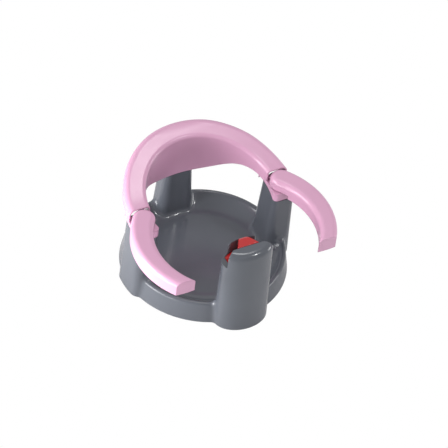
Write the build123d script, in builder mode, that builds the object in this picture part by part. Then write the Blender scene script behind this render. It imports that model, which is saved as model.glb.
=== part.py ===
from build123d import *
import math
import os

os.makedirs("parts", exist_ok=True)

# A baby bath seat: a round moulded base with four hollow posts, a tall curved backrest,
# two arms that swing open on upright pins, and a push-button latch in the front post.
# Millimetres. The floor is z = 0 and the seat faces -Y. The arms are drawn swung open.

# Driving dimensions
ring_y = 11.0            # the ring's axis sits this far behind the middle of the whole seat
cup_lift = 6.0           # gap under the base's edge when it stands on its suction cups
wall = 3.0               # moulded wall
slip = 0.4               # clearance where mouldings slip together

ring_inner = 121.5
ring_outer = 163.5
ring_top = 186.0
rail_edge = 10.0         # rounding of the ring's top corners

pivot_angle = -3.5       # an arm's pin, seen from the ring's axis
open_angle = 42.0        # swing from latched to the open stop
arm_bottom = 156.0
tip_radius = 177.0       # an arm's end face, from its pin
tip_inner = 129.0        # an arm's walls at its end face, from the ring's axis
tip_outer = 158.0

knuckle_bottom = 145.0
knuckle_top = 162.0
knuckle_front = -32.0
knuckle_back = 20.0
hood_edge = 9.0          # the backrest's hood laps over the arm's hub up to here
apron_bottom = 126.0     # lower edge of the backrest behind the child
backrest_top = 225.0
pin_r = 6.0

base_r = 159.0
rim_r = 152.0
rim_z = 46.0
floor_z = 20.0
floor_r = 95.0
front_post_y = -147.0
slot_floor = 155.2
latch_travel = 6.0

ring_mid = (ring_inner + ring_outer) / 2
ring_half = (ring_outer - ring_inner) / 2
pivot_x = ring_mid * math.cos(math.radians(pivot_angle))
pivot_y = ring_mid * math.sin(math.radians(pivot_angle))
pin_spot = (pivot_x, pivot_y)
sides = (1, -1)

seat = Plane((0, ring_y, 0))
rear_seat = Plane((0, ring_y, 0), x_dir=(0, 1, 0))
side_view = Plane((0, ring_y, 0), x_dir=(0, 1, 0), z_dir=(1, 0, 0))
front_view = Plane((0, ring_y, 0), x_dir=(1, 0, 0), z_dir=(0, -1, 0))
ring_axis = Axis((0, ring_y, 0), (0, 0, 1))


def tip_turn(r):
    """Angle at the ring's axis between the pin and the point of the end face at radius r."""
    return math.acos((r**2 + ring_mid**2 - tip_radius**2) / (2 * r * ring_mid))


def wall_shift(ring_r, tip_r):
    """How far an arm wall's centre sits beyond the ring's axis, away from the pin."""
    along = tip_r * math.cos(tip_turn(tip_r))
    return (tip_r**2 - ring_r**2) / (2 * (ring_r - along))


inner_shift = wall_shift(ring_inner, tip_inner)
outer_shift = wall_shift(ring_outer, tip_outer)


def away_from_pin(shift):
    """The ring's axis moved along the line through the pin."""
    turn = math.radians(pivot_angle)
    return (-shift * math.cos(turn), -shift * math.sin(turn))


def post_plan(inner, outer, front, back):
    """A piece of the ring between two cross cuts."""
    Circle(outer)
    Circle(inner, mode=Mode.SUBTRACT)
    with Locations(((inner + outer) / 2, (front + back) / 2)):
        Rectangle(outer - inner + 40, back - front, mode=Mode.INTERSECT)


def inset(section, depth):
    """A post section pulled in by a wall's thickness."""
    inner, outer, front, back, corner = section
    return (inner + depth, outer - depth, front + depth, back - depth, corner - depth)


# Posts: inner radius, outer radius, front, back, corner

side_foot = (113.0, 167.0, -42.0, 34.0, 18.0)
side_head = (ring_inner + 0.3, ring_outer - 0.3, knuckle_front + 0.3, 25.0, 9.0)
rear_foot = (116.0, 165.0, -38.0, 38.0, 18.0)
rear_shoulder = (ring_inner + 0.3, 159.5, -30.0, 30.0, 13.0)
rear_neck = (ring_inner + wall + slip, 159.5, -30.0, 30.0, 13.0)
side_post_top = 149.8
rear_post_top = 190.0
shoulder_z = apron_bottom - slip


def lofted_post(plane, foot, foot_z, head, head_z):
    """A tapered post between two sections."""
    with BuildPart() as post:
        with BuildSketch(plane.offset(foot_z)) as low:
            post_plan(*foot[:4])
            fillet(low.vertices(), foot[4])
        with BuildSketch(plane.offset(head_z)) as high:
            post_plan(*head[:4])
            fillet(high.vertices(), head[4])
        loft()
    return post.part


def straight_post(plane, section, bottom, top):
    """A post of one section."""
    with BuildPart() as post:
        with BuildSketch(plane.offset(bottom)) as plan:
            post_plan(*section[:4])
            fillet(plan.vertices(), section[4])
        extrude(amount=top - bottom)
    return post.part


def front_post(margin, top, rounding=0):
    """The front post is an oval, drawn slightly wider at its foot."""
    taper = (top - cup_lift) / (ring_top - cup_lift)
    with BuildPart() as post:
        with BuildSketch(seat.offset(cup_lift)):
            with Locations((0, front_post_y - 3)):
                Ellipse(53 - margin, 37 - margin)
        with BuildSketch(seat.offset(top)):
            with Locations((0, front_post_y - 3 * (1 - taper))):
                Ellipse(53 - 4 * taper - margin, 37 - 9 * taper - margin)
        loft()
        if rounding:
            fillet(post.edges().group_by(Axis.Z)[-1], rounding)
    return post.part


# Fasteners: one pan-head screw used throughout, head down

screw_r = 1.5
screw_length = 13.5
screw_head_r = 3.2
screw_head = 2.2
screw_boss_r = 4.2
pilot_r = 1.55
screw_hole_r = 1.8


def screw(x, y, z):
    """A screw whose head bears upwards at height z."""
    with BuildPart() as piece:
        with BuildSketch(seat.offset(z - screw_head)):
            with Locations((x, y)):
                Circle(screw_head_r)
        extrude(amount=screw_head)
        fillet(piece.edges().group_by(Axis.Z)[0], 0.8)
        with BuildSketch(seat.offset(z)):
            with Locations((x, y)):
                Circle(screw_r)
        extrude(amount=screw_length)
        chamfer(piece.edges().group_by(Axis.Z)[-1], 0.5)
        with BuildSketch(seat.offset(z - screw_head)):
            with Locations((x, y)):
                Rectangle(3.4, 0.8)
                Rectangle(0.8, 3.4)
        extrude(amount=1.3, mode=Mode.SUBTRACT)
    return piece.part


side_screw = (ring_mid - 1.0, 12.0)
side_screw_z = side_post_top - wall
rear_screw = (18.0, 142.0)
rear_screw_z = rear_post_top - wall
latch_screw = (38.0, front_post_y - 4.0)
latch_screw_z = 122.0
latch_boss_bottom = 126.0

# Suction cups: a stud on each cup hangs in a keyhole under the dish

cup_ring_r = 112.0
keyhole_run = 10.0
keyhole_bottom = 10.4
keyhole_top = 12.9
stud_r = 4.5
stud_head_r = 7.0

# Latch

latch_y = -137.0
well_margin = 2.0        # wall left behind the button
button_gap = 0.5
window_x = 38.6          # opening in the slot's floor for the button's wings
window_back = front_post_y + 0.4


tooth_r = 168.0          # the teeth, from the arms' pins
tooth_angle = 229.1
tooth_top = 158.6
tooth_spot = (
    pivot_x + tooth_r * math.cos(math.radians(tooth_angle)),
    pivot_y + tooth_r * math.sin(math.radians(tooth_angle)),
)


def well_plan(gap):
    """The well behind the dome that the button fills."""
    Ellipse(49 - well_margin - gap, 28 - well_margin - gap)


# Seat base: one grey moulding, open underneath, with its posts drawn hollow

def dish_outline(depth, foot_z):
    """Half section of the dish and its outer wall, pulled in by the wall's thickness."""
    rise = rim_z - floor_z
    run = rim_r - 8.0 - floor_r
    arc_r = (run**2 + rise**2) / (2 * rise)
    crest_z = rim_z - 1.5 * depth
    turn = math.degrees(math.acos(1 - (crest_z - floor_z + depth) / (arc_r + depth)))
    with BuildLine() as line:
        bottom = Line((0, floor_z - depth), (floor_r, floor_z - depth))
        dish = JernArc(bottom @ 1, bottom % 1, arc_r + depth, turn)
        crest = Line(dish @ 1, (rim_r - depth, crest_z))
        outside = Line(crest @ 1, (base_r - depth, foot_z))
        foot = Line(outside @ 1, (0, foot_z))
        Line(foot @ 1, (0, floor_z - depth))
    return line.edges()


with BuildPart() as hollow:
    with BuildSketch(front_view):
        make_face(dish_outline(wall, cup_lift - 2))
    revolve(axis=ring_axis)
    add(lofted_post(rear_seat, inset(rear_foot, wall), cup_lift - 2, inset(rear_shoulder, wall), shoulder_z - wall))
    add(straight_post(rear_seat, inset(rear_neck, wall), shoulder_z - 4 * wall, rear_screw_z))
    side_hollow = lofted_post(
        seat, inset(side_foot, wall), cup_lift - 2, inset(side_head, 2 * wall + slip), side_screw_z
    )
    add(side_hollow)
    add(mirror(side_hollow, Plane.YZ, mode=Mode.PRIVATE))
    add(front_post(wall, slot_floor - wall))
    # the dome's own hollow, in front of the latch
    with BuildSketch(seat.offset(slot_floor - wall - 2)):
        with Locations((0, front_post_y)):
            Ellipse(45, 24)
        with Locations((0, front_post_y - 3.6 + 40)):
            Rectangle(120, 80, mode=Mode.SUBTRACT)
        with Locations(pin_spot, (-pivot_x, pivot_y)):
            Circle(tip_radius + 4, mode=Mode.SUBTRACT)
    extrude(amount=178 - slot_floor + wall + 2)
    # a ring rib, spokes, the keyhole pads and the latch bosses stay standing
    with BuildSketch(seat.offset(11)):
        Circle(61.2)
        Circle(58.8, mode=Mode.SUBTRACT)
        for turn in (0, 60, 120):
            with Locations(Rotation(0, 0, turn)):
                Rectangle(120, 2.4)
    extrude(amount=20, mode=Mode.SUBTRACT)
    with BuildSketch(seat.offset(keyhole_bottom)):
        with PolarLocations(cup_ring_r - keyhole_run / 2, 4, start_angle=45):
            SlotCenterToCenter(keyhole_run, 24)
    extrude(amount=20, mode=Mode.SUBTRACT)
    with BuildSketch(seat.offset(latch_boss_bottom)):
        with Locations(latch_screw, (-latch_screw[0], latch_screw[1])):
            Circle(screw_boss_r)
    extrude(amount=40, mode=Mode.SUBTRACT)

with BuildPart() as seat_base:
    with BuildSketch(front_view):
        make_face(dish_outline(0, cup_lift))
    revolve(axis=ring_axis)
    fillet(seat_base.edges().filter_by(GeomType.CIRCLE).group_by(Axis.Z)[-1], 5)
    turned = seat_base.part
    side_post = lofted_post(seat, side_foot, cup_lift, side_head, knuckle_top)
    posts = [
        front_post(0, ring_top, 13),
        lofted_post(rear_seat, rear_foot, cup_lift, rear_shoulder, shoulder_z),
        side_post,
        mirror(side_post, Plane.YZ, mode=Mode.PRIVATE),
    ]
    add(posts)
    fillet(new_edges(turned, *posts, combined=seat_base.part), 12)
    add(straight_post(rear_seat, rear_neck, shoulder_z - wall, rear_post_top))
    # the side posts stop under the backrest's skirt, and a spigot goes on up inside it
    with BuildSketch(side_view):
        with BuildLine():
            Polyline((-60, 144.6), (-26, 144.6), (20, 156.6), (60, 156.6), (60, 170), (-60, 170), close=True)
        make_face()
    extrude(amount=200, both=True, mode=Mode.SUBTRACT)
    add(straight_post(rear_seat, rear_neck, shoulder_z - wall, rear_post_top))
    spigot = inset(side_head, wall + slip)
    for side in sides:
        with BuildSketch(seat.offset(knuckle_bottom - 12)) as spigot_plan:
            Circle(spigot[1])
            Circle(spigot[0], mode=Mode.SUBTRACT)
            with Locations((side * ring_mid, (spigot[2] + 16) / 2)):
                Rectangle(70, 16 - spigot[2], mode=Mode.INTERSECT)
            fillet(spigot_plan.vertices(), spigot[4])
        extrude(amount=side_post_top - knuckle_bottom + 12)
    add(hollow.part, mode=Mode.SUBTRACT)
    # room for the hinge pins' heads above the spigots
    with BuildSketch(seat.offset(side_post_top)):
        with Locations(pin_spot, (-pivot_x, pivot_y)):
            Circle(10.2)
    extrude(amount=10, mode=Mode.SUBTRACT)
    # the slot that takes the arms' tips, and the well of the button
    with BuildSketch(seat.offset(slot_floor)):
        for side in sides:
            with BuildSketch(mode=Mode.PRIVATE) as tip_path:
                with Locations((side * pivot_x, pivot_y)):
                    Circle(tip_radius + 0.8)
                centre = away_from_pin(inner_shift)
                with Locations((side * centre[0], centre[1])):
                    Circle(ring_inner + inner_shift - 0.8, mode=Mode.SUBTRACT)
                with Locations((side * 50, front_post_y)):
                    Rectangle(100, 80, mode=Mode.INTERSECT)
            add(tip_path.sketch)
        with BuildSketch(mode=Mode.PRIVATE) as well:
            with Locations((0, front_post_y)):
                well_plan(0)
            with Locations((0, front_post_y + 40 - 0.6)):
                Rectangle(120, 80, mode=Mode.INTERSECT)
        add(well.sketch)
    extrude(amount=60, mode=Mode.SUBTRACT)
    # window in the slot's floor for the button's wings
    with BuildSketch(seat.offset(slot_floor - 2 * wall)):
        with Locations((0, front_post_y)):
            well_plan(0)
        with Locations((0, window_back + 20)):
            Rectangle(2 * window_x, 40, mode=Mode.INTERSECT)
    extrude(amount=4 * wall, mode=Mode.SUBTRACT)
    # keyholes
    with BuildSketch(seat.offset(keyhole_top)):
        with PolarLocations(cup_ring_r - keyhole_run / 2, 4, start_angle=45):
            SlotCenterToCenter(keyhole_run, 18.4)
    extrude(amount=4.2, mode=Mode.SUBTRACT)
    with BuildSketch(seat.offset(keyhole_bottom - 1)):
        with PolarLocations(cup_ring_r - keyhole_run / 2, 4, start_angle=45):
            SlotCenterToCenter(keyhole_run, 2 * stud_r + 0.4)
        with PolarLocations(cup_ring_r - keyhole_run, 4, start_angle=45):
            Circle(stud_head_r + 0.6)
    extrude(amount=keyhole_top - keyhole_bottom + 2, mode=Mode.SUBTRACT)
    # screw holes
    for x in (side_screw[0], -side_screw[0]):
        with BuildSketch(seat.offset(side_screw_z - 2)):
            with Locations((x, side_screw[1])):
                Circle(screw_hole_r)
        extrude(amount=20, mode=Mode.SUBTRACT)
    with BuildSketch(seat.offset(rear_screw_z - 2)):
        with Locations(rear_screw, (-rear_screw[0], rear_screw[1])):
            Circle(screw_hole_r)
    extrude(amount=10, mode=Mode.SUBTRACT)
    with BuildSketch(seat.offset(latch_boss_bottom - 2)):
        with Locations(latch_screw, (-latch_screw[0], latch_screw[1])):
            Circle(pilot_r)
    extrude(amount=13, mode=Mode.SUBTRACT)

seat_base.part.label = "seat_base"
export_step(seat_base.part, "parts/seat_base.step")


# Backrest: one pink moulding, hollow, with a knuckle and a hood over each arm's hub

hood_top = ring_top + 1.0
back_rise = [(62.5, 11), (94, 21), (120.8, 29), (138.6, 35), (163.5, 39), (175, 40)]


def back_side(drop, front, lower_edge):
    """Side outline under the backrest's sweeping top edge."""
    with BuildLine() as line:
        crest = Spline([(front, hood_top - drop)] + [(y, hood_top + rise - drop) for y, rise in back_rise])
        behind = Polyline(crest @ 1, (175, lower_edge[-1][1]), lower_edge[-1])
        below = Spline(*lower_edge) if len(lower_edge) > 3 else Polyline(*lower_edge)
        Line(below @ 0, crest @ 0)
    return line.edges()


def back_body(depth, outline, outer_edge, inner_edge):
    """The part of the ring under a side outline, with its top corners rounded."""
    with BuildPart() as body:
        with BuildSketch(seat.offset(100)):
            Circle(ring_outer - depth)
            Circle(ring_inner + depth, mode=Mode.SUBTRACT)
        extrude(amount=150)
        with BuildSketch(side_view):
            make_face(outline)
        extrude(amount=200, both=True, mode=Mode.INTERSECT)
        for radius, rounding in ((ring_outer - depth, outer_edge), (ring_inner + depth, inner_edge)):
            rim = body.edges().filter_by(
                lambda e: e.center().Z > hood_top - depth - 1
                and abs(math.hypot((e @ 0.5).X, (e @ 0.5).Y - ring_y) - radius) < 0.1
            )
            fillet(rim, rounding)
    return body.part


arch = [(hood_edge, 157.5), (36, 160), (60, 160), (75, 156.5), (88, 150), (100, 141), (110, 133), (121.5, apron_bottom)]
cover_bottom = 166.0
cover_top = 169.0
cover_front = 27.0
cover_screws = [(ring_mid * math.cos(math.radians(a)), ring_mid * math.sin(math.radians(a))) for a in (20, 64)]
cover_boss_tops = (193.0, 217.0)

with BuildPart() as backrest:
    add(back_body(0, back_side(0, hood_edge, arch), 12, 8))
    with BuildSketch(seat.offset(knuckle_bottom)) as knuckle:
        for side in sides:
            with BuildSketch(mode=Mode.PRIVATE) as block:
                Circle(ring_outer)
                Circle(ring_inner, mode=Mode.SUBTRACT)
                with Locations((side * ring_mid, 0)):
                    Rectangle(80, -2 * knuckle_front, mode=Mode.INTERSECT)
                fillet(block.vertices().group_by(Axis.Y)[0], 8)
            add(block.sketch)
    extrude(amount=knuckle_top - knuckle_bottom)
    with BuildSketch(side_view):
        with BuildLine():
            Polyline((-60, 145), (-26, 145), (20, 157), (hood_edge + 20, 158.3), (60, 100), (-60, 100), close=True)
        make_face()
    extrude(amount=200, both=True, mode=Mode.SUBTRACT)
    # below the cover only the inner wall goes on, as an apron behind the child
    with BuildSketch(seat.offset(90)):
        Circle(ring_outer + 10)
        Circle(ring_inner + wall, mode=Mode.SUBTRACT)
        with Locations((0, 30 - 150)):
            Rectangle(400, 300, mode=Mode.SUBTRACT)
    extrude(amount=cover_bottom - 90, mode=Mode.SUBTRACT)
    # hollow
    inside = [(hood_edge - 1, knuckle_top), (knuckle_back, knuckle_top), (knuckle_back, 100.0)]
    add(back_body(wall, back_side(wall, hood_edge - 1, inside), 9, 5), mode=Mode.SUBTRACT)
    # pocket for the spigot, under the knuckle
    with BuildSketch(seat.offset(knuckle_bottom - 5)) as pocket:
        for side in sides:
            with BuildSketch(mode=Mode.PRIVATE) as room:
                Circle(ring_outer - wall)
                Circle(ring_inner + wall, mode=Mode.SUBTRACT)
                with Locations((side * ring_mid, (knuckle_front + wall + knuckle_back) / 2)):
                    Rectangle(80, knuckle_back - knuckle_front - wall, mode=Mode.INTERSECT)
                fillet(room.vertices().group_by(Axis.Y)[0], 8 - wall)
            add(room.sketch)
    extrude(amount=10, mode=Mode.SUBTRACT)
    # screw bosses
    with BuildSketch(seat.offset(rear_post_top + slip)):
        with Locations(rear_screw, (-rear_screw[0], rear_screw[1])):
            Circle(screw_boss_r)
    extrude(amount=30)
    for (x, y), top in zip(cover_screws, cover_boss_tops):
        with BuildSketch(seat.offset(cover_top + 0.2)):
            with Locations((x, y), (-x, y)):
                Circle(screw_boss_r)
        extrude(amount=top - cover_top)
    with BuildSketch(seat.offset(rear_post_top)):
        with Locations(rear_screw, (-rear_screw[0], rear_screw[1])):
            Circle(pilot_r)
    extrude(amount=13, mode=Mode.SUBTRACT)
    with BuildSketch(seat.offset(cover_top)):
        for x, y in cover_screws:
            with Locations((x, y), (-x, y)):
                Circle(pilot_r)
    extrude(amount=13, mode=Mode.SUBTRACT)
    with BuildSketch(seat.offset(knuckle_bottom)):
        with Locations(side_screw, (-side_screw[0], side_screw[1])):
            Circle(pilot_r)
    extrude(amount=side_screw_z + screw_length + 0.5 - knuckle_bottom, mode=Mode.SUBTRACT)
    # pin bores with counterbores for their heads
    with BuildSketch(seat.offset(knuckle_bottom)):
        with Locations(pin_spot, (-pivot_x, pivot_y)):
            Circle(pin_r + 0.05)
    extrude(amount=30, mode=Mode.SUBTRACT)
    with BuildSketch(seat.offset(knuckle_bottom)):
        with Locations(pin_spot, (-pivot_x, pivot_y)):
            Circle(9.9)
    extrude(amount=153.2 - knuckle_bottom, mode=Mode.SUBTRACT)

backrest.part.label = "backrest"
export_step(backrest.part, "parts/backrest.step")


# Backrest covers: a plate on each side of the rear post closes the backrest from below

with BuildPart() as right_back_cover:
    with BuildSketch(seat.offset(cover_bottom)) as cover:
        Circle(ring_outer - wall - 0.2)
        Circle(ring_inner + wall + 0.2, mode=Mode.SUBTRACT)
        with Locations((rear_neck[3] + 0.6 + 70, cover_front + 70)):
            Rectangle(140, 140, mode=Mode.INTERSECT)
        fillet(cover.vertices(), 2)
    extrude(amount=cover_top - cover_bottom)
    with BuildSketch(seat.offset(cover_bottom)):
        with Locations(*cover_screws):
            Circle(screw_hole_r)
    extrude(amount=wall, mode=Mode.SUBTRACT)

left_back_cover = mirror(right_back_cover.part, Plane.YZ)
right_back_cover.part.label = "right_back_cover"
export_step(right_back_cover.part, "parts/right_back_cover.step")
left_back_cover.label = "left_back_cover"
export_step(left_back_cover, "parts/left_back_cover.step")

backrest_screws = [screw(x, side_screw[1], side_screw_z) for x in (side_screw[0], -side_screw[0])]
backrest_screws += [screw(x, rear_screw[1], rear_screw_z) for x in (rear_screw[0], -rear_screw[0])]
backrest_screws += [screw(side * x, y, cover_bottom) for side in sides for x, y in cover_screws]
backrest_screws = Compound(label="backrest_screws", children=backrest_screws)
export_step(backrest_screws, "parts/backrest_screws.step")


# Arms: drawn in their latched place on a plane that is turned open about the pin

turn = math.radians(open_angle)
arm_seat = Plane(
    (
        pivot_x - pivot_x * math.cos(turn) + pivot_y * math.sin(turn),
        ring_y + pivot_y - pivot_x * math.sin(turn) - pivot_y * math.cos(turn),
        0,
    ),
    x_dir=(math.cos(turn), math.sin(turn), 0),
)
hub_bottom = 163.5
plate_top = 159.5        # top of the plate that closes the arm from below
latch_block = 160.0      # from the pin out to the tip the arm is solid
notch_r = 34.0
cavity_start = 38.0
bore_r = 8.0
bore_top = 179.4


def arm_plan(depth):
    """Plan of a latched arm: two walls that are not quite concentric, and a round hub."""
    with Locations(away_from_pin(outer_shift)):
        Circle(ring_outer + outer_shift - depth)
    with Locations(away_from_pin(inner_shift)):
        Circle(ring_inner + inner_shift + depth, mode=Mode.SUBTRACT)
    with Locations(Location((0, 0, 0), (0, 0, pivot_angle)) * Location((0, -150, 0))):
        Rectangle(600, 300, mode=Mode.INTERSECT)
    with Locations(pin_spot):
        Circle(tip_radius - depth, mode=Mode.INTERSECT)
        Circle(ring_half - depth)


def arm_cavity(depth):
    """Plan of the arm's hollow, between the hub and the latch block."""
    arm_plan(depth)
    with Locations(pin_spot):
        Circle(latch_block - depth + wall, mode=Mode.INTERSECT)
        Circle(cavity_start + depth - wall, mode=Mode.SUBTRACT)


def mid_arm(angle):
    """A point on the arm's centre line, by its angle at the ring's axis."""
    return (ring_mid * math.cos(math.radians(angle)), ring_mid * math.sin(math.radians(angle)))


arm_screws = [mid_arm(-29), mid_arm(-61)]

with BuildPart() as arm:
    with BuildSketch(arm_seat.offset(arm_bottom)):
        arm_plan(0)
    extrude(amount=ring_top - arm_bottom)
    pin_line = Vector(pivot_x, pivot_y + ring_y, 0)
    rim = arm.edges().group_by(Axis.Z)[-1]
    tip_rim = rim.filter_by(lambda e: abs(math.hypot((e @ 0.5).X - pin_line.X, (e @ 0.5).Y - pin_line.Y) - tip_radius) < 0.1)
    fillet(ShapeList(e for e in rim if e not in tip_rim), rail_edge)
    # the hub is raised above the knuckle
    with BuildSketch(arm_seat.offset(arm_bottom)):
        with Locations(pin_spot):
            Circle(notch_r)
    extrude(amount=hub_bottom - arm_bottom, mode=Mode.SUBTRACT)
    # tongue under the backrest's hood: it meets the hood's walls at both ends of the swing
    with BuildSketch(arm_seat.offset(166)):
        with BuildLine():
            tongue = CenterArc(pin_spot, 28, 53, 33)
            Line(pin_spot, tongue @ 0)
            Line(tongue @ 1, pin_spot)
        make_face()
    extrude(amount=4)
    # hollow, left open below for the plate
    with BuildSketch(arm_seat.offset(arm_bottom)):
        arm_cavity(wall)
    extrude(amount=ring_top - 4 - arm_bottom, mode=Mode.SUBTRACT)
    # bosses for the plate's screws, and the bush's bore
    with BuildSketch(arm_seat.offset(plate_top + 0.2)):
        with Locations(*arm_screws):
            Circle(screw_boss_r)
    extrude(amount=ring_top - 2 - plate_top)
    with BuildSketch(arm_seat.offset(plate_top)):
        with Locations(*arm_screws):
            Circle(pilot_r)
    extrude(amount=14, mode=Mode.SUBTRACT)
    with BuildSketch(arm_seat.offset(hub_bottom)):
        with Locations(pin_spot):
            Circle(bore_r + 0.05)
    extrude(amount=bore_top - hub_bottom, mode=Mode.SUBTRACT)
    # run for the latch's tooth, along the swing and open to the leading side
    with BuildSketch(arm_seat.offset(arm_bottom)):
        with Locations(pin_spot):
            Circle(tooth_r + 3.5)
            Circle(tooth_r - 3.5, mode=Mode.SUBTRACT)
        with Locations((tooth_spot[0] - 40, tooth_spot[1])):
            Rectangle(90, 60, mode=Mode.INTERSECT)
    extrude(amount=tooth_top + 0.8 - arm_bottom, mode=Mode.SUBTRACT)

with BuildPart() as arm_plate:
    with BuildSketch(arm_seat.offset(arm_bottom)):
        arm_cavity(wall + 0.2)
    extrude(amount=plate_top - arm_bottom)
    with BuildSketch(arm_seat.offset(arm_bottom)):
        with Locations(*arm_screws):
            Circle(screw_head_r + 0.4)
    extrude(amount=2.4, mode=Mode.SUBTRACT)
    with BuildSketch(arm_seat.offset(arm_bottom)):
        with Locations(*arm_screws):
            Circle(screw_hole_r)
    extrude(amount=plate_top - arm_bottom, mode=Mode.SUBTRACT)

arm_plate_screws = []
for x, y in arm_screws:
    spot = arm_seat.from_local_coords(Vector(x, y, 0))
    arm_plate_screws.append(screw(spot.X, spot.Y - ring_y, arm_bottom + 2.4))


# Hinges: a steel pin stands in each knuckle, and a flanged bush turns on it with the arm

with BuildPart() as hinge_pin:
    with BuildSketch(seat.offset(150.1)):
        with Locations(pin_spot):
            Circle(9.5)
    extrude(amount=2.9)
    with BuildSketch(seat.offset(153)):
        with Locations(pin_spot):
            Circle(pin_r)
    extrude(amount=25)
    chamfer(hinge_pin.edges().group_by(Axis.Z)[-1], 0.8)

with BuildPart() as hinge_bush:
    with BuildSketch(seat.offset(162.3)):
        with Locations(pin_spot):
            Circle(12)
    extrude(amount=1.1)
    with BuildSketch(seat.offset(163.4)):
        with Locations(pin_spot):
            Circle(bore_r)
    extrude(amount=15.6)
    with BuildSketch(seat.offset(162.3)):
        with Locations(pin_spot):
            Circle(pin_r + 0.05)
    extrude(amount=20, mode=Mode.SUBTRACT)

handed = {
    "arm": arm.part,
    "arm_cover": arm_plate.part,
    "hinge_pin": hinge_pin.part,
    "hinge_bush": hinge_bush.part,
}
for name, piece in handed.items():
    piece.label = "right_" + name
    export_step(piece, "parts/right_" + name + ".step")
    other = mirror(piece, Plane.YZ)
    other.label = "left_" + name
    export_step(other, "parts/left_" + name + ".step")
right_cover_screws = Compound(label="right_cover_screws", children=arm_plate_screws)
export_step(right_cover_screws, "parts/right_cover_screws.step")
left_cover_screws = Compound(label="left_cover_screws", children=[mirror(s, Plane.YZ) for s in arm_plate_screws])
export_step(left_cover_screws, "parts/left_cover_screws.step")


# Latch button: a cap flush with the dome, wings with the two teeth, ears that stop it, and a stem

wing_bottom = 150.5
wing_top = 154.5
stem_r = 5.0
stem_end = 113.0


with BuildPart() as latch_button:
    with BuildSketch(seat.offset(wing_bottom)) as cap:
        with Locations((0, front_post_y)):
            well_plan(button_gap)
        with BuildSketch(mode=Mode.PRIVATE) as wedge:
            with BuildLine():
                Polyline((-4.9, -118), (4.9, -118), (21, -146.5), (-21, -146.5), close=True)
            make_face()
        add(wedge.sketch, mode=Mode.INTERSECT)
    extrude(amount=ring_top + 5 - wing_bottom)
    add(front_post(0, ring_top, 13), mode=Mode.INTERSECT)
    with BuildSketch(seat.offset(wing_bottom)):
        with Locations((0, front_post_y)):
            well_plan(button_gap)
        with Locations((0, window_back + 0.6 + 20)):
            Rectangle(2 * window_x - 1.2, 40, mode=Mode.INTERSECT)
    extrude(amount=wing_top - wing_bottom)
    with BuildSketch(seat.offset(wing_bottom)):
        for side in sides:
            with Locations(Location((side * tooth_spot[0], tooth_spot[1], 0), (0, 0, side * tooth_angle))):
                Rectangle(5, 8)
    extrude(amount=tooth_top - wing_bottom)
    with BuildSketch(seat.offset(148.3)):
        with Locations((0, -148)):
            Rectangle(28, 12)
    extrude(amount=wing_bottom + 1.2 - 148.3)
    with BuildSketch(seat.offset(wing_bottom - 3)):
        with BuildSketch(mode=Mode.PRIVATE) as core:
            with BuildLine():
                Polyline((-8, -126.5), (8, -126.5), (16, -144), (-16, -144), close=True)
            make_face()
        add(core.sketch)
        with Locations((0, latch_y)):
            Circle(7.6, mode=Mode.SUBTRACT)
    extrude(amount=26, mode=Mode.SUBTRACT)
    with BuildSketch(seat.offset(stem_end)):
        with Locations((0, latch_y)):
            Circle(stem_r)
    extrude(amount=wing_bottom + 10 - stem_end)

latch_button.part.label = "latch_button"
export_step(latch_button.part, "parts/latch_button.step")


# Latch carrier: a plate under the slot, with a cup for the spring and a hole that guides the stem

with BuildPart() as latch_carrier:
    with BuildSketch(seat.offset(latch_screw_z)):
        with Locations((0, latch_screw[1])):
            SlotCenterToCenter(2 * latch_screw[0], 12)
        with Locations((0, (latch_screw[1] + latch_y) / 2)):
            Rectangle(24, latch_y - latch_screw[1])
        with Locations((0, latch_y)):
            Circle(12)
    extrude(amount=latch_boss_bottom - latch_screw_z)
    with BuildSketch(seat.offset(112)):
        with Locations((0, latch_y)):
            Circle(11)
    extrude(amount=latch_screw_z - 112)
    with BuildSketch(seat.offset(115)):
        with Locations((0, latch_y)):
            Circle(8.8)
    extrude(amount=20, mode=Mode.SUBTRACT)
    with BuildSketch(seat.offset(110)):
        with Locations((0, latch_y)):
            Circle(stem_r + 0.08)
    extrude(amount=10, mode=Mode.SUBTRACT)
    with BuildSketch(seat.offset(latch_screw_z)):
        with Locations(latch_screw, (-latch_screw[0], latch_screw[1])):
            Circle(screw_hole_r)
    extrude(amount=10, mode=Mode.SUBTRACT)

latch_carrier.part.label = "latch_carrier"
export_step(latch_carrier.part, "parts/latch_carrier.step")

latch_screws = Compound(
    label="latch_screws", children=[screw(side * latch_screw[0], latch_screw[1], latch_screw_z) for side in sides]
)
export_step(latch_screws, "parts/latch_screws.step")

# Latch spring
coil_r = 7.0
wire_r = 0.7

with BuildPart() as latch_spring:
    with BuildLine():
        coil = Helix(pitch=5.2, height=wing_bottom - 115 - 2 * wire_r - 0.2, radius=coil_r,
                     center=(0, latch_y + ring_y, 115 + wire_r + 0.1))
    with BuildSketch(Plane(origin=coil @ 0, z_dir=coil % 0)):
        Circle(wire_r)
    sweep()

latch_spring.part.label = "latch_spring"
export_step(latch_spring.part, "parts/latch_spring.step")


# Suction cups: a soft bell with a pull tab; the stud's head hangs in a keyhole under the dish

bell_r = 26.0
bell_top = 9.0


def cup_outline():
    """Half section of a cup, from its lip on the floor up to the head of its stud."""
    with BuildLine() as line:
        Polyline((stud_r, bell_top), (stud_r, 13.3), (stud_head_r, 13.5), (stud_head_r, 15.6),
                 (stud_head_r - 0.8, 16.2), (0, 16.2), (0, 5.2))
        crown = Line((0, 5.2), (4, 5.2))
        under = Spline(crown @ 1, (16, 3.4), (bell_r - 2, 0), tangents=((1, 0), (1, -0.7)))
        lip = Polyline(under @ 1, (bell_r, 0), (bell_r, 0.9))
        over = Spline(lip @ 1, (18, 7.0), (9, bell_top), tangents=((-1, 0.8), (-1, 0)))
        Line(over @ 1, (stud_r, bell_top))
    return line.edges()


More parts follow.
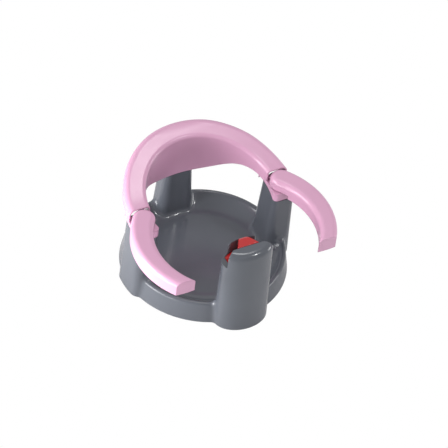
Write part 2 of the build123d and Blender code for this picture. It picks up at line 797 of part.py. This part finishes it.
for name, angle in (("rear_right", 45), ("rear_left", 135), ("front_left", 225), ("front_right", 315)):
    spot = Plane(
        (cup_ring_r * math.cos(math.radians(angle)), ring_y + cup_ring_r * math.sin(math.radians(angle)), 0),
        x_dir=(math.cos(math.radians(angle)), math.sin(math.radians(angle)), 0),
    )
    with BuildPart() as cup:
        with BuildSketch(Plane(spot.origin, x_dir=spot.x_dir, z_dir=spot.x_dir.cross(Vector(0, 0, 1)))):
            make_face(cup_outline())
        revolve(axis=Axis(spot.origin, (0, 0, 1)))
        with BuildSketch(spot.offset(0.9)) as tab:
            with Locations((bell_r + 3, 0)):
                Rectangle(14, 11)
            fillet(tab.vertices().group_by(Axis.X)[-1], 4)
        extrude(amount=1.5)
    cup.part.label = "suction_cup_" + name
    export_step(cup.part, "parts/suction_cup_" + name + ".step")
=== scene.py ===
import bpy
import math
from mathutils import Matrix, Vector

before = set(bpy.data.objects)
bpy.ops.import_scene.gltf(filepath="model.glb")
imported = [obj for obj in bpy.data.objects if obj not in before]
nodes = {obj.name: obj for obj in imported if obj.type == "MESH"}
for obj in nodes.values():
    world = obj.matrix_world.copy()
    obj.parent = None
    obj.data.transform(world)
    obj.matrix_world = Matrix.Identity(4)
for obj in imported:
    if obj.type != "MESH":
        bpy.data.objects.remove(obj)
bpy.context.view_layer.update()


# Seat base: one hollow moulding of grey polypropylene with the dish, the rim and the four posts. It stands
# on the bath's floor, and everything else is fixed to it. The mould leaves a glossy skin with a soft
# orange peel, and use adds a few fine scuffs.
def moulded_plastic(name, colour, shade, gloss, peel, scuff):
    material = bpy.data.materials.new(name)
    material.use_nodes = True
    tree = material.node_tree
    surface = tree.nodes["Principled BSDF"]
    surface.inputs["IOR"].default_value = 1.49
    surface.inputs["Specular IOR Level"].default_value = 0.6
    place = tree.nodes.new("ShaderNodeTexCoord")

    # broad change of tone, as in moulded stock
    clouds = tree.nodes.new("ShaderNodeTexNoise")
    clouds.inputs["Scale"].default_value = 9.0
    clouds.inputs["Detail"].default_value = 3.0
    tree.links.new(place.outputs["Object"], clouds.inputs["Vector"])
    tone = tree.nodes.new("ShaderNodeMix")
    tone.data_type = "RGBA"
    tone.inputs["A"].default_value = (*colour, 1.0)
    tone.inputs["B"].default_value = (*shade, 1.0)
    spread = tree.nodes.new("ShaderNodeMapRange")
    spread.inputs["From Min"].default_value = 0.35
    spread.inputs["From Max"].default_value = 0.75
    tree.links.new(clouds.outputs["Fac"], spread.inputs["Value"])
    tree.links.new(spread.outputs["Result"], tone.inputs["Factor"])
    tree.links.new(tone.outputs["Result"], surface.inputs["Base Color"])

    # roughness wanders, and fine scuffs dull it in streaks
    smear = tree.nodes.new("ShaderNodeTexNoise")
    smear.inputs["Scale"].default_value = 34.0
    smear.inputs["Detail"].default_value = 5.0
    smear.inputs["Distortion"].default_value = 0.6
    tree.links.new(place.outputs["Object"], smear.inputs["Vector"])
    stretch = tree.nodes.new("ShaderNodeMapping")
    stretch.inputs["Scale"].default_value = (110.0, 700.0, 420.0)
    stretch.inputs["Rotation"].default_value = (0.3, 0.2, 0.7)
    tree.links.new(place.outputs["Object"], stretch.inputs["Vector"])
    scratches = tree.nodes.new("ShaderNodeTexNoise")
    scratches.inputs["Scale"].default_value = 1.0
    scratches.inputs["Detail"].default_value = 2.0
    tree.links.new(stretch.outputs["Vector"], scratches.inputs["Vector"])
    worn = tree.nodes.new("ShaderNodeMapRange")
    worn.inputs["From Min"].default_value = 0.62
    worn.inputs["From Max"].default_value = 0.80
    worn.inputs["To Max"].default_value = scuff
    tree.links.new(scratches.outputs["Fac"], worn.inputs["Value"])
    dull = tree.nodes.new("ShaderNodeMapRange")
    dull.inputs["To Min"].default_value = gloss
    dull.inputs["To Max"].default_value = gloss + 0.12
    tree.links.new(smear.outputs["Fac"], dull.inputs["Value"])
    rough = tree.nodes.new("ShaderNodeMath")
    rough.operation = "ADD"
    tree.links.new(dull.outputs["Result"], rough.inputs[0])
    tree.links.new(worn.outputs["Result"], rough.inputs[1])
    tree.links.new(rough.outputs["Value"], surface.inputs["Roughness"])

    # softened edges, the orange peel, and the slow waves of a cooled wall
    rounded = tree.nodes.new("ShaderNodeBevel")
    rounded.samples = 6
    rounded.inputs["Radius"].default_value = 0.0018
    grain = tree.nodes.new("ShaderNodeTexNoise")
    grain.inputs["Scale"].default_value = 420.0
    grain.inputs["Detail"].default_value = 2.0
    tree.links.new(place.outputs["Object"], grain.inputs["Vector"])
    skin = tree.nodes.new("ShaderNodeBump")
    skin.inputs["Strength"].default_value = peel
    skin.inputs["Distance"].default_value = 0.00004
    tree.links.new(grain.outputs["Fac"], skin.inputs["Height"])
    tree.links.new(rounded.outputs["Normal"], skin.inputs["Normal"])
    sink = tree.nodes.new("ShaderNodeTexNoise")
    sink.inputs["Scale"].default_value = 22.0
    sink.inputs["Detail"].default_value = 1.0
    tree.links.new(place.outputs["Object"], sink.inputs["Vector"])
    wave = tree.nodes.new("ShaderNodeBump")
    wave.inputs["Strength"].default_value = 0.25
    wave.inputs["Distance"].default_value = 0.0004
    tree.links.new(sink.outputs["Fac"], wave.inputs["Height"])
    tree.links.new(skin.outputs["Normal"], wave.inputs["Normal"])
    tree.links.new(wave.outputs["Normal"], surface.inputs["Normal"])
    return material


def finish_in(material, *names):
    for name in names:
        nodes[name].data.materials.clear()
        nodes[name].data.materials.append(material)


grey = moulded_plastic(
    "grey_polypropylene",
    colour=(0.105, 0.114, 0.134),
    shade=(0.092, 0.100, 0.119),
    gloss=0.11,
    peel=0.30,
    scuff=0.04,
)
finish_in(grey, "seat_base")


# Backrest: a hollow ring segment of pink polypropylene with a hood and a knuckle at both ends. Two plates of
# the same plastic close it from below, right and left of the rear post.
pink = moulded_plastic(
    "pink_polypropylene",
    colour=(0.640, 0.350, 0.505),
    shade=(0.610, 0.325, 0.478),
    gloss=0.17,
    peel=0.30,
    scuff=0.04,
)
finish_in(pink, "backrest", "right_back_cover", "left_back_cover")


# Arms: two hollow pink rails, each with a plate screwed on from below. They swing on upright pins between
# the hood and the knuckle.
finish_in(pink, "right_arm", "left_arm", "right_arm_cover", "left_arm_cover")


# Hinge pins and screws: turned stainless steel, with fine rings from the lathe and a slight change of tone.
# The pins are pushed in from above. The screws hold the backrest, the plates and the latch.
def bright_steel(name, tone, roughness):
    material = bpy.data.materials.new(name)
    material.use_nodes = True
    tree = material.node_tree
    surface = tree.nodes["Principled BSDF"]
    surface.inputs["Metallic"].default_value = 1.0
    place = tree.nodes.new("ShaderNodeTexCoord")
    rings = tree.nodes.new("ShaderNodeTexWave")
    rings.bands_direction = "Z"
    rings.inputs["Scale"].default_value = 900.0
    rings.inputs["Distortion"].default_value = 1.2
    tree.links.new(place.outputs["Object"], rings.inputs["Vector"])
    stain = tree.nodes.new("ShaderNodeTexNoise")
    stain.inputs["Scale"].default_value = 260.0
    stain.inputs["Detail"].default_value = 4.0
    tree.links.new(place.outputs["Object"], stain.inputs["Vector"])
    colours = tree.nodes.new("ShaderNodeValToRGB")
    colours.color_ramp.elements[0].color = (tone * 0.82, tone * 0.83, tone * 0.85, 1.0)
    colours.color_ramp.elements[1].color = (tone, tone, tone * 1.01, 1.0)
    tree.links.new(stain.outputs["Fac"], colours.inputs["Fac"])
    tree.links.new(colours.outputs["Color"], surface.inputs["Base Color"])
    polish = tree.nodes.new("ShaderNodeMapRange")
    polish.inputs["To Min"].default_value = roughness
    polish.inputs["To Max"].default_value = roughness + 0.15
    tree.links.new(stain.outputs["Fac"], polish.inputs["Value"])
    tree.links.new(polish.outputs["Result"], surface.inputs["Roughness"])
    marks = tree.nodes.new("ShaderNodeBump")
    marks.inputs["Strength"].default_value = 0.12
    marks.inputs["Distance"].default_value = 0.00003
    tree.links.new(rings.outputs["Fac"], marks.inputs["Height"])
    tree.links.new(marks.outputs["Normal"], surface.inputs["Normal"])
    return material


steel = bright_steel("stainless_steel", tone=0.62, roughness=0.22)
finish_in(steel, "right_hinge_pin", "left_hinge_pin")
finish_in(steel, "backrest_screws", "right_cover_screws", "left_cover_screws", "latch_screws")


# Hinge bushes: flanged sleeves of natural acetal, pressed into the hubs of the arms. The plastic is pale and
# more satin than the mouldings round it.
pale = moulded_plastic(
    "natural_acetal",
    colour=(0.700, 0.690, 0.640),
    shade=(0.660, 0.650, 0.600),
    gloss=0.36,
    peel=0.30,
    scuff=0.10,
)
finish_in(pale, "right_hinge_bush", "left_hinge_bush")


# Latch: a button of red acetal in the well of the front post, over a steel coil. A carrier of natural acetal
# holds the coil from below and is screwed to the post.
red = moulded_plastic(
    "red_acetal",
    colour=(0.470, 0.018, 0.018),
    shade=(0.420, 0.013, 0.015),
    gloss=0.18,
    peel=0.25,
    scuff=0.04,
)
finish_in(red, "latch_button")
finish_in(steel, "latch_spring")
finish_in(pale, "latch_carrier")


# Suction cups: four soft rubber cups with pull tabs, buttoned into keyholes under the base. They are satin,
# let a little light in, and carry a dusty bloom.
rubber = bpy.data.materials.new("soft_rubber")
rubber.use_nodes = True
tree = rubber.node_tree
surface = tree.nodes["Principled BSDF"]
surface.inputs["Subsurface Weight"].default_value = 0.25
surface.inputs["Subsurface Radius"].default_value = (0.004, 0.004, 0.004)
place = tree.nodes.new("ShaderNodeTexCoord")
bloom = tree.nodes.new("ShaderNodeTexNoise")
bloom.inputs["Scale"].default_value = 120.0
bloom.inputs["Detail"].default_value = 5.0
tree.links.new(place.outputs["Object"], bloom.inputs["Vector"])
dusty = tree.nodes.new("ShaderNodeValToRGB")
dusty.color_ramp.elements[0].position = 0.35
dusty.color_ramp.elements[0].color = (0.42, 0.43, 0.44, 1.0)
dusty.color_ramp.elements[1].position = 0.75
dusty.color_ramp.elements[1].color = (0.52, 0.53, 0.53, 1.0)
tree.links.new(bloom.outputs["Fac"], dusty.inputs["Fac"])
tree.links.new(dusty.outputs["Color"], surface.inputs["Base Color"])
matt = tree.nodes.new("ShaderNodeMapRange")
matt.inputs["To Min"].default_value = 0.34
matt.inputs["To Max"].default_value = 0.52
tree.links.new(bloom.outputs["Fac"], matt.inputs["Value"])
tree.links.new(matt.outputs["Result"], surface.inputs["Roughness"])
fine = tree.nodes.new("ShaderNodeBump")
fine.inputs["Strength"].default_value = 0.15
fine.inputs["Distance"].default_value = 0.00005
tree.links.new(bloom.outputs["Fac"], fine.inputs["Height"])
tree.links.new(fine.outputs["Normal"], surface.inputs["Normal"])
for end in ("front", "rear"):
    finish_in(rubber, "suction_cup_" + end + "_left", "suction_cup_" + end + "_right")


# Floor: a pale and plain sheet under the seat, pure white to the camera. In all other light it is a matt
# pale grey.
bpy.ops.object.select_all(action="DESELECT")
bpy.ops.mesh.primitive_plane_add(size=12, location=(0, 0, 0))
floor = bpy.context.object
floor.name = "floor"
white = bpy.data.materials.new("pale_floor")
white.use_nodes = True
tree = white.node_tree
surface = tree.nodes["Principled BSDF"]
surface.inputs["Base Color"].default_value = (0.80, 0.80, 0.80, 1.0)
surface.inputs["Roughness"].default_value = 0.6
glow = tree.nodes.new("ShaderNodeEmission")
glow.inputs["Color"].default_value = (1.0, 1.0, 1.0, 1.0)
rays = tree.nodes.new("ShaderNodeLightPath")
either = tree.nodes.new("ShaderNodeMixShader")
tree.links.new(rays.outputs["Is Camera Ray"], either.inputs["Fac"])
tree.links.new(surface.outputs["BSDF"], either.inputs[1])
tree.links.new(glow.outputs["Emission"], either.inputs[2])
tree.links.new(either.outputs["Shader"], tree.nodes["Material Output"].inputs["Surface"])
floor.data.materials.append(white)


# Light: a pale room, a soft lamp overhead, a large panel and a low one on the left, and two small lamps on
# the right for the highlights.
world = bpy.data.worlds.new("pale_room")
world.use_nodes = True
tree = world.node_tree
room = tree.nodes["Background"]
room.inputs["Color"].default_value = (1.0, 1.0, 1.0, 1.0)
room.inputs["Strength"].default_value = 0.58
backdrop = tree.nodes.new("ShaderNodeBackground")
backdrop.inputs["Color"].default_value = (1.0, 1.0, 1.0, 1.0)
backdrop.inputs["Strength"].default_value = 1.0
rays = tree.nodes.new("ShaderNodeLightPath")
either = tree.nodes.new("ShaderNodeMixShader")
tree.links.new(rays.outputs["Is Camera Ray"], either.inputs["Fac"])
tree.links.new(room.outputs["Background"], either.inputs[1])
tree.links.new(backdrop.outputs["Background"], either.inputs[2])
tree.links.new(either.outputs["Shader"], tree.nodes["World Output"].inputs["Surface"])
bpy.context.scene.world = world


def soft_lamp(name, spot, aim, size, power):
    lamp = bpy.data.lights.new(name, "AREA")
    lamp.shape = "RECTANGLE"
    lamp.size, lamp.size_y = size
    lamp.energy = power
    holder = bpy.data.objects.new(name, lamp)
    bpy.context.scene.collection.objects.link(holder)
    holder.location = spot
    holder.rotation_mode = "QUATERNION"
    holder.rotation_quaternion = (Vector(aim) - Vector(spot)).to_track_quat("-Z", "Y")


seat_middle = (0, 0, 0.1)
soft_lamp("overhead", spot=(0.35, 0.35, 1.6), aim=seat_middle, size=(0.5, 0.4), power=4.0)
soft_lamp("left_panel", spot=(-1.5, 0.25, 0.5), aim=seat_middle, size=(1.0, 0.8), power=24.0)
soft_lamp("low_left", spot=(-0.55, -0.10, 0.02), aim=(-0.3, -0.05, 0.5), size=(0.55, 0.7), power=9.0)
soft_lamp("small_front", spot=(0.75, -1.0, 1.5), aim=seat_middle, size=(0.14, 0.14), power=5.0)
soft_lamp("low_right", spot=(1.2, -0.5, 0.35), aim=seat_middle, size=(0.4, 0.3), power=3.0)


# Camera: the photograph's view, from the front left and well above, with a long lens and a slight roll.
# It looks at a point near the middle of the seat.
turn = math.radians(-32.504)
rise = math.radians(44.808)
roll = math.radians(7.65)
distance = 4.6296
looked_at = Vector((0.028437, 0.000092, 0.102123))
back = Vector((math.sin(turn) * math.cos(rise), -math.cos(turn) * math.cos(rise), math.sin(rise)))
right = Vector((math.cos(turn), math.sin(turn), 0))
up = back.cross(right)
across = right * math.cos(roll) + up * math.sin(roll)
upward = up * math.cos(roll) - right * math.sin(roll)
look = Matrix((across, upward, back)).transposed().to_4x4()
camera = bpy.data.objects.new("camera", bpy.data.cameras.new("camera"))
bpy.context.scene.collection.objects.link(camera)
camera.data.lens = 200
camera.data.sensor_width = 36
camera.data.clip_end = 20
camera.matrix_world = Matrix.Translation(looked_at + back * distance) @ look
bpy.context.scene.camera = camera
bpy.context.scene.view_settings.view_transform = "Standard"
